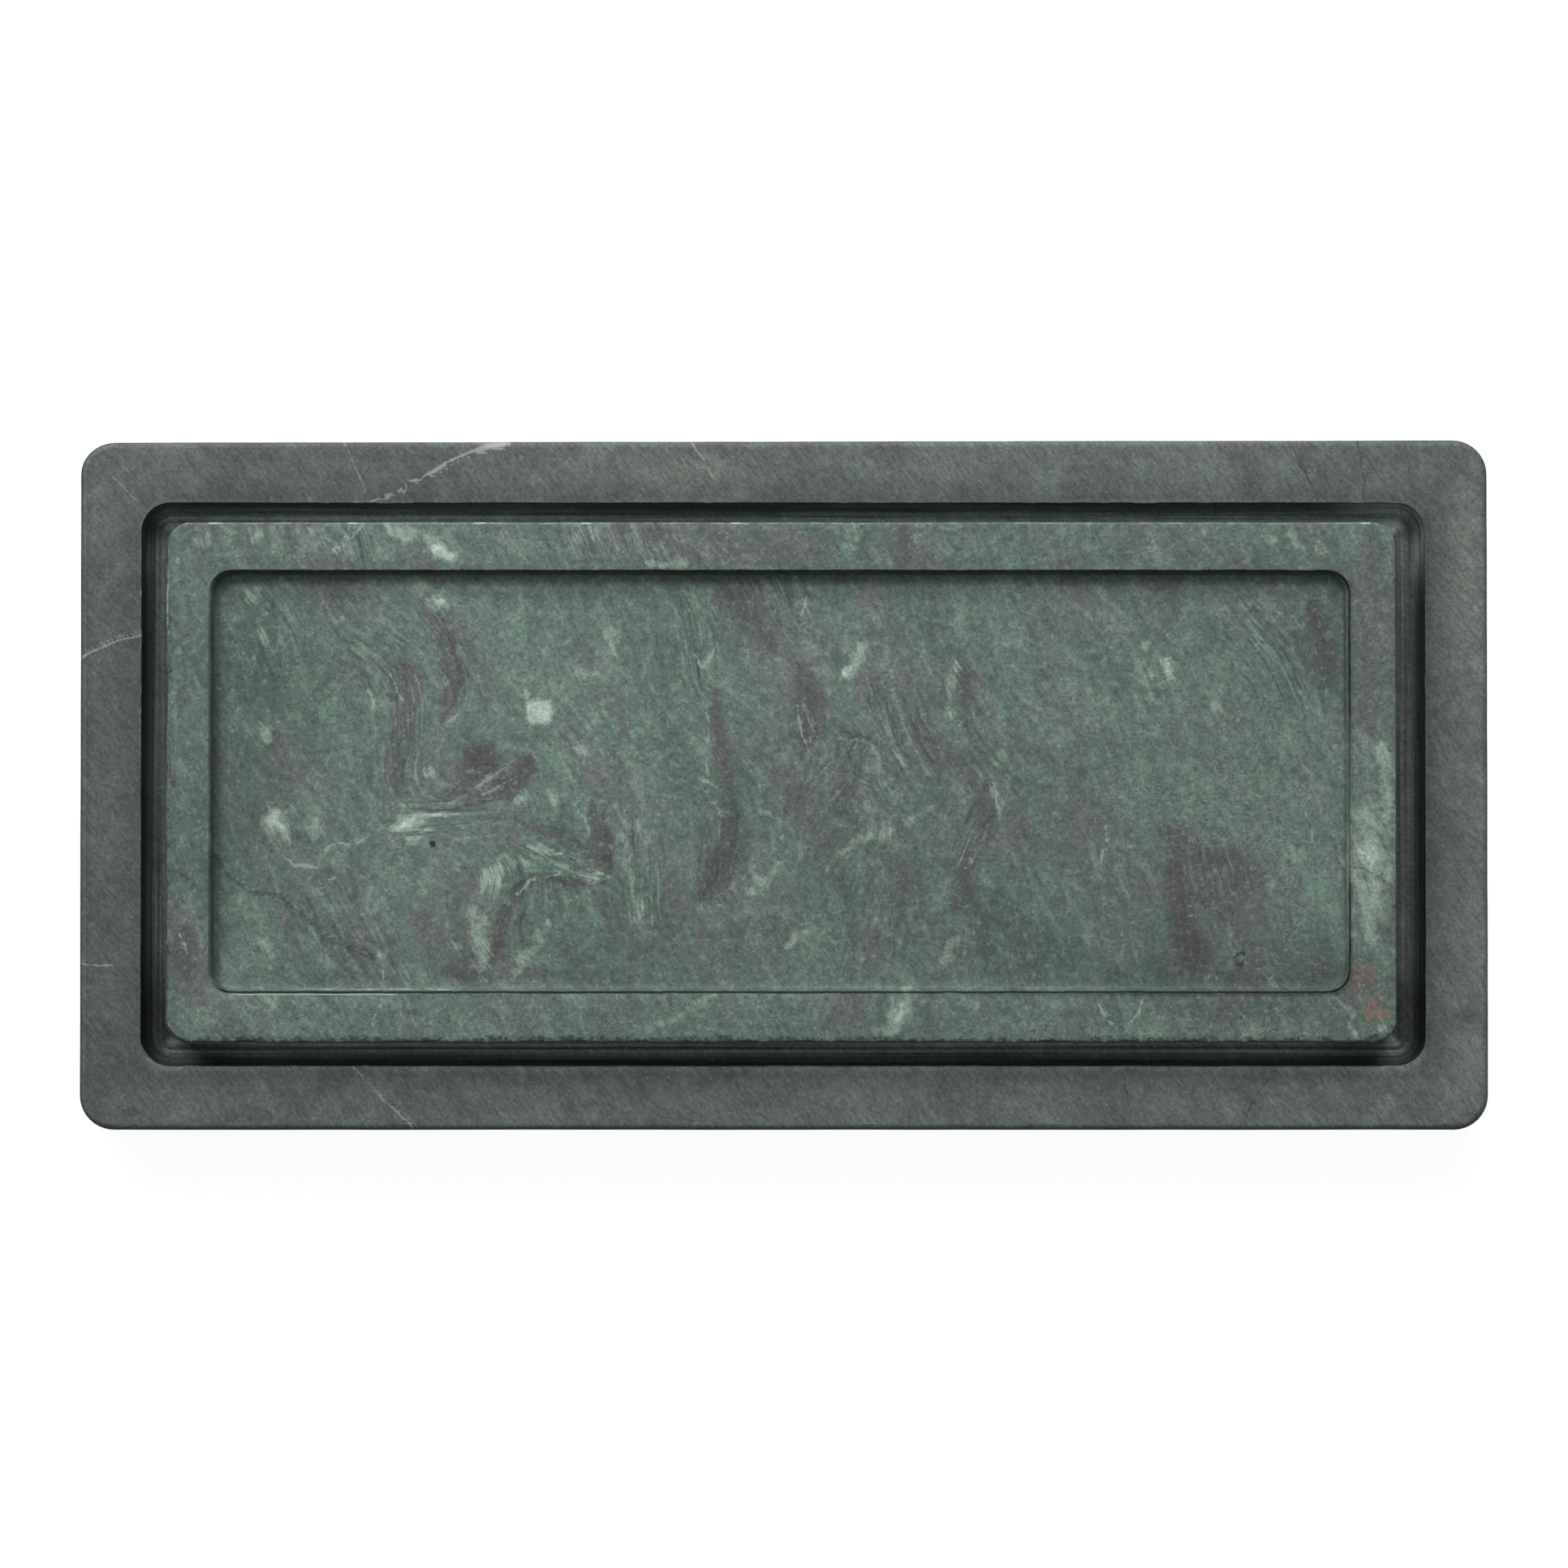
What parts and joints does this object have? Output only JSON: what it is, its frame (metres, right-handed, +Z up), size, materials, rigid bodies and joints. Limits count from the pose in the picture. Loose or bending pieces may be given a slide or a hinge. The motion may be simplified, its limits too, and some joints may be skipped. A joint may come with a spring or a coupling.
{
  "type": "nested marble tray",
  "caption": "Rectangular dark stone tray with a milled pocket that holds a loose green marble tray with a shallow dish, on felt pads and clear bumpers.",
  "frame": {"origin": "middle of the footprint, on the surface that the felt pads stand on", "axes": "+X along the tray's length, to the right as seen from the front; +Y to its back; +Z up"},
  "size_m": [0.4064, 0.1994, 0.0308],
  "materials": {
    "dark_stone": "honed dark grey-green stone with fine slanting grain and thin white veins",
    "green_marble": "honed mottled green marble with purple-brown clouds and pale inclusions",
    "grey_felt": "pressed felt",
    "clear_silicone": "clear silicone"
  },
  "bodies": {
    "outer": {"outer_tray": "dark_stone", "felt_pad_front_left": "grey_felt", "felt_pad_front_right": "grey_felt", "felt_pad_back_left": "grey_felt", "felt_pad_back_right": "grey_felt"},
    "inner": {"inner_tray": "green_marble", "bumper_front_left": "clear_silicone", "bumper_front_right": "clear_silicone", "bumper_back_left": "clear_silicone", "bumper_back_right": "clear_silicone"}
  },
  "joints": [
    {"name": "inner_tray_lift", "type": "slide", "parent": "outer", "child": "inner", "axis": [0, 0, 1], "range_m": [0, 0.05]}
  ]
}
